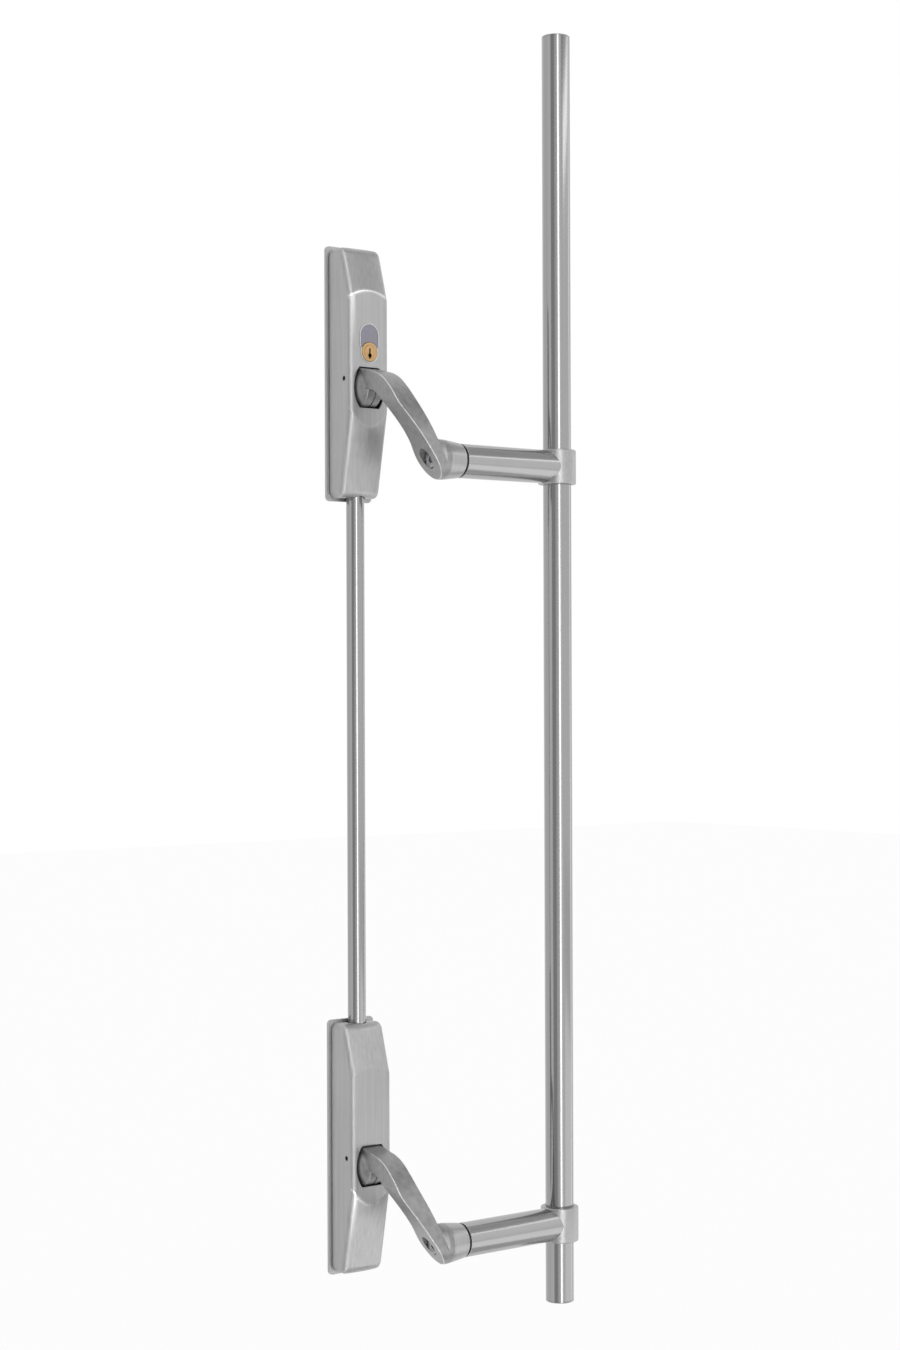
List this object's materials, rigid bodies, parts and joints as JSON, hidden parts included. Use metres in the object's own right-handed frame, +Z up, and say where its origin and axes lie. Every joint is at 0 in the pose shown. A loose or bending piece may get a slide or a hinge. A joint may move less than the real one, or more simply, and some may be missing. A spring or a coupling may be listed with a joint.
{
  "type": "vertical push bar door handle",
  "caption": "Standing push bar on cranked levers that swing from cased pivots joined by a connecting rod, for opening an exit door by pushing.",
  "frame": {"origin": "on the door plane, at the middle of the upper base plate's four fixing holes, level with the upper lever's pivot", "axes": "+X across the door towards the push bar, +Y into the door, +Z up"},
  "size_m": [0.2127, 0.102, 1.138],
  "materials": {
    "plate": "satin stainless steel",
    "cover": "satin stainless steel, brushed lengthwise",
    "lever": "cast stainless steel, bead blasted",
    "collar": "cast stainless steel, fine turned",
    "tube": "stainless steel tube, fine brushed along its length",
    "ring": "satin stainless steel",
    "brass": "turned brass",
    "bronze": "plain bronze",
    "indicator": "matt lilac grey, left blank",
    "rim": "polished edge",
    "zinc": "zinc plated steel",
    "pin": "ground steel",
    "black_steel": "black oxide",
    "spring": "spring steel wire"
  },
  "bodies": {
    "cases": {"upper_base_plate": "plate", "upper_cover": "cover", "upper_cover_screws": "black_steel", "upper_chassis": "zinc", "upper_chassis_screws": "zinc", "upper_guides": "zinc", "upper_pivot_pin": "pin", "upper_pivot_clips": "black_steel", "lower_base_plate": "plate", "lower_cover": "cover", "lower_cover_screws": "black_steel", "lower_chassis": "zinc", "lower_chassis_screws": "zinc", "lower_guides": "zinc", "lower_pivot_pin": "pin", "lower_pivot_clips": "black_steel", "key_cylinder": "brass", "cylinder_nut": "zinc", "indicator_plate": "indicator", "indicator_rim": "rim", "return_spring": "spring", "spring_bracket": "zinc", "spring_pin": "pin"},
    "upper_lever": {"upper_lever": "lever", "upper_lever_bushes": "bronze", "upper_crank_pin": "pin", "upper_hub_bush": "bronze"},
    "lower_lever": {"lower_lever": "lever", "lower_lever_bushes": "bronze", "lower_crank_pin": "pin", "lower_hub_bush": "bronze"},
    "handle": {"upper_hub_screw": "pin", "upper_hub_washer": "pin", "upper_standoff_end": "collar", "upper_standoff_tube": "tube", "upper_bar_ring": "ring", "upper_ring_screws": "black_steel", "lower_hub_screw": "pin", "lower_hub_washer": "pin", "lower_standoff_end": "collar", "lower_standoff_tube": "tube", "lower_bar_ring": "ring", "lower_ring_screws": "black_steel", "push_bar": "tube", "bar_top_cap": "tube", "bar_bottom_cap": "tube"},
    "linkage": {"upper_slide": "zinc", "upper_slide_pin": "pin", "lower_slide": "zinc", "lower_slide_pin": "pin", "connecting_rod": "tube"},
    "key_barrel": {"key_plug": "brass", "cylinder_cam": "zinc"}
  },
  "joints": [
    {"name": "upper_lever_turn", "type": "hinge", "parent": "cases", "child": "upper_lever", "pos_m": [0, -0.024, 0], "axis": [1, 0, 0], "range_deg": [0, 20], "stiffness_Nm_per_rad": 4, "springref_deg": -28.65},
    {"name": "lower_lever_turn", "type": "hinge", "parent": "cases", "child": "lower_lever", "pos_m": [0, -0.024, -0.68], "axis": [1, 0, 0], "range_deg": [0, 20]},
    {"name": "bar_swing", "type": "hinge", "parent": "upper_lever", "child": "handle", "pos_m": [0.036, -0.0845, -0.0645], "axis": [1, 0, 0], "range_deg": [-20, 0]},
    {"name": "rod_lift", "type": "slide", "parent": "cases", "child": "linkage", "axis": [0, 0, 1], "range_m": [0, 0.00452], "deforming": ["return_spring"]},
    {"name": "key_turn", "type": "hinge", "parent": "cases", "child": "key_barrel", "pos_m": [0, -0.025, 0.0313], "axis": [0, 1, 0], "range_deg": [0, 90]}
  ],
  "couplings": [
    {"joint": "lower_lever_turn", "follows": "upper_lever_turn", "ratio": 1},
    {"joint": "bar_swing", "follows": "upper_lever_turn", "ratio": -1},
    {"joint": "rod_lift", "follows": "upper_lever_turn", "m_per_rad": 0.012934}
  ]
}
